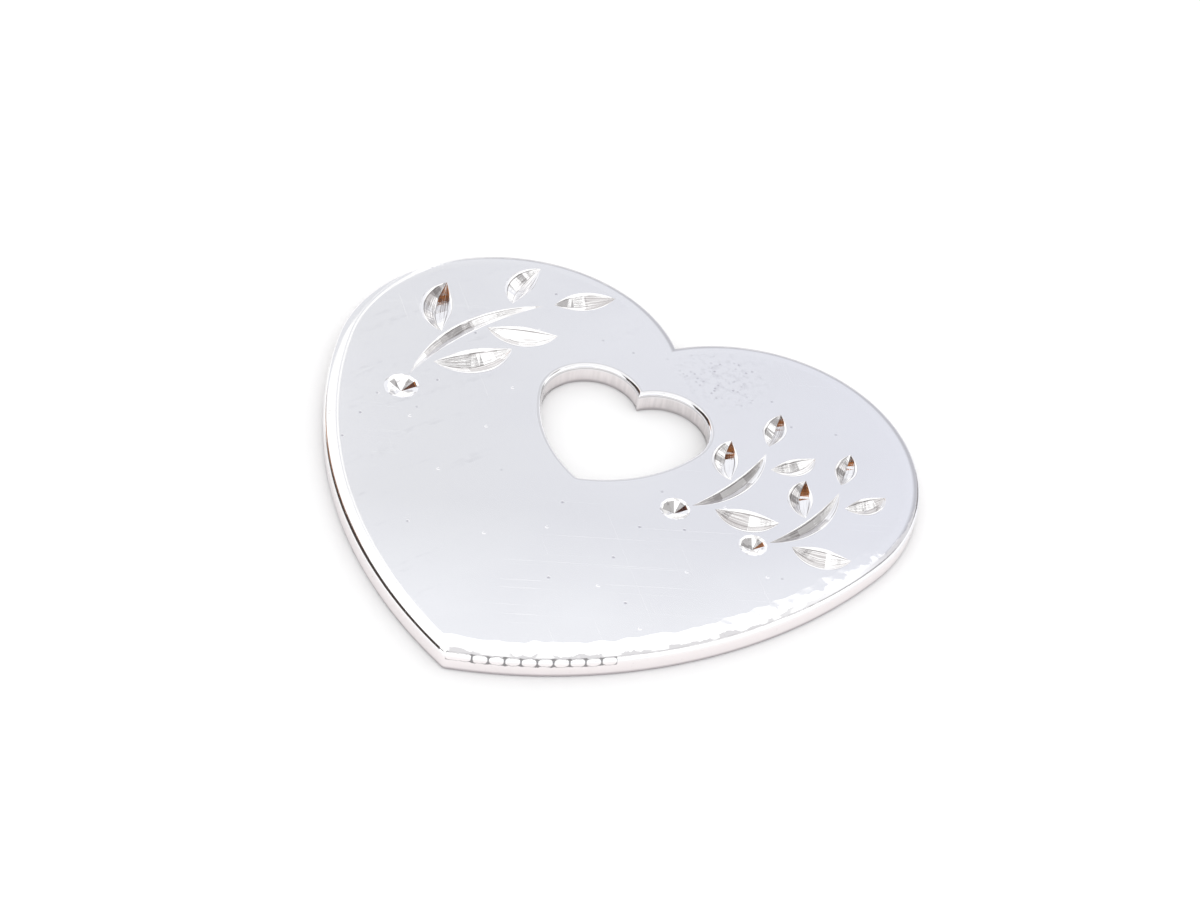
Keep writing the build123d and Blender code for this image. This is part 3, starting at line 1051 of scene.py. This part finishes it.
# %% [markdown]
# The table and the room
# A polished plate needs something to mirror. The room is evenly bright and white, so slopes that look up
# or aside turn white. A pale screen stands behind the plate, just where its flat face looks, and gives
# the face its tone; two more do the same for other points of view. Grey screens darken some walls of
# the cuts, a dark board on the left draws the thin line along the left edge, and a brown panel puts the
# warm glints in the cuts. The screens show only in reflections.

# %% Table, light and screens
def plain_finish(name, colour, strength, other=None, scale=3.0, level=0.5):
    """Matt finish, or a glowing one where the strength is above zero, clouded with another colour.

    The level says how much of it stays in the first colour.
    """
    material = bpy.data.materials.new(name)
    material.use_nodes = True
    tree = material.node_tree
    shader = tree.nodes["Principled BSDF"]
    place = add(tree, "ShaderNodeTexCoord").outputs["Object"]
    cloud = remap(tree, noise(tree, place, scale, 3.0), level - 0.08, level + 0.08)
    second = (*(other or [part * 0.97 for part in colour]), 1)
    tone = dye(tree, cloud, (*colour, 1), second)
    shader.inputs["Roughness"].default_value = 0.7
    shader.inputs["Specular IOR Level"].default_value = 0.2
    if strength > 0:
        shader.inputs["Base Color"].default_value = (0, 0, 0, 1)
        shader.inputs["Emission Strength"].default_value = strength
        tree.links.new(tone, shader.inputs["Emission Color"])
    else:
        tree.links.new(tone, shader.inputs["Base Color"])
    return material


def stage_piece(name, points, faces, material):
    """Mesh object with one material, for the table or a screen."""
    mesh = bpy.data.meshes.new(name)
    mesh.from_pydata(points, [], faces)
    mesh.materials.append(material)
    piece = bpy.data.objects.new(name, mesh)
    bpy.context.scene.collection.objects.link(piece)
    return piece


def screen(name, azimuths, elevations, material):
    """Curved board that fills a range of directions, in degrees, and shows only in reflections."""
    across = np.radians(np.linspace(*azimuths, SCREEN_STEPS + 1))
    upwards = np.radians(np.linspace(*elevations, SCREEN_STEPS + 1))
    points = [direction(a, e) * SCREEN_DISTANCE for e in upwards for a in across]
    row = SCREEN_STEPS + 1
    corners = [line * row + place for line in range(SCREEN_STEPS) for place in range(SCREEN_STEPS)]
    board = stage_piece(name, points, [(c, c + 1, c + row + 1, c + row) for c in corners], material)
    board.visible_camera = False
    board.visible_diffuse = False
    board.visible_shadow = False


ROOM_GLOW = 1.25
SCREEN_DISTANCE = 1.2
SCREEN_STEPS = 12
TABLE_REACH = 3.0
quarters = [(-1, -1), (1, -1), (1, 1), (-1, 1)]
table_corners = [(x * TABLE_REACH, y * TABLE_REACH, 0) for x, y in quarters]
stage_piece("table", table_corners, [(0, 1, 2, 3)], plain_finish("table_paint", (0.89, 0.89, 0.893), 0))
room = bpy.data.worlds.new("room")
room.use_nodes = True
room.node_tree.nodes["Background"].inputs["Color"].default_value = (1, 1, 1, 1)
room.node_tree.nodes["Background"].inputs["Strength"].default_value = ROOM_GLOW
bpy.context.scene.world = room
bpy.context.scene.view_settings.view_transform = "Standard"
pale = plain_finish("pale_screen", (0.92, 0.93, 0.975), 1.0)
grey = plain_finish("grey_screen", (0.5, 0.49, 0.49), 1.0)
dark = plain_finish("dark_board", (0.06, 0.045, 0.04), 1.0)
brown = plain_finish("brown_board", (0.06, 0.022, 0.018), 1.0, (0.8, 0.3, 0.08), 20.0, 0.54)
SCREENS = [
    ("back_screen", (166, 211), (15, 51), pale),
    ("window_bar", (214.5, 216.5), (15, 55), pale),
    ("side_screen", (120, 146), (37, 57), grey),
    ("side_slot", (104, 118), (56, 74), grey),
    ("left_slot", (270, 284), (57, 70), grey),
    ("low_screen", (149, 164), (2, 30), grey),
    ("high_bar", (-25, 85), (67, 72), grey),
    ("right_screen", (217, 242.5), (10, 34), pale),
    ("front_screen", (26, 66), (8, 25), pale),
    ("left_board", (257, 312), (6.5, 50), dark),
    ("brown_panel", (243, 256.5), (22, 49), brown),
]
for name, azimuths, elevations, material in SCREENS:
    screen(name, azimuths, elevations, material)
meshes = [thing for thing in bpy.context.scene.objects if thing.type == "MESH"]
print("stage pieces:", len(meshes) - 1 - len(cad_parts))
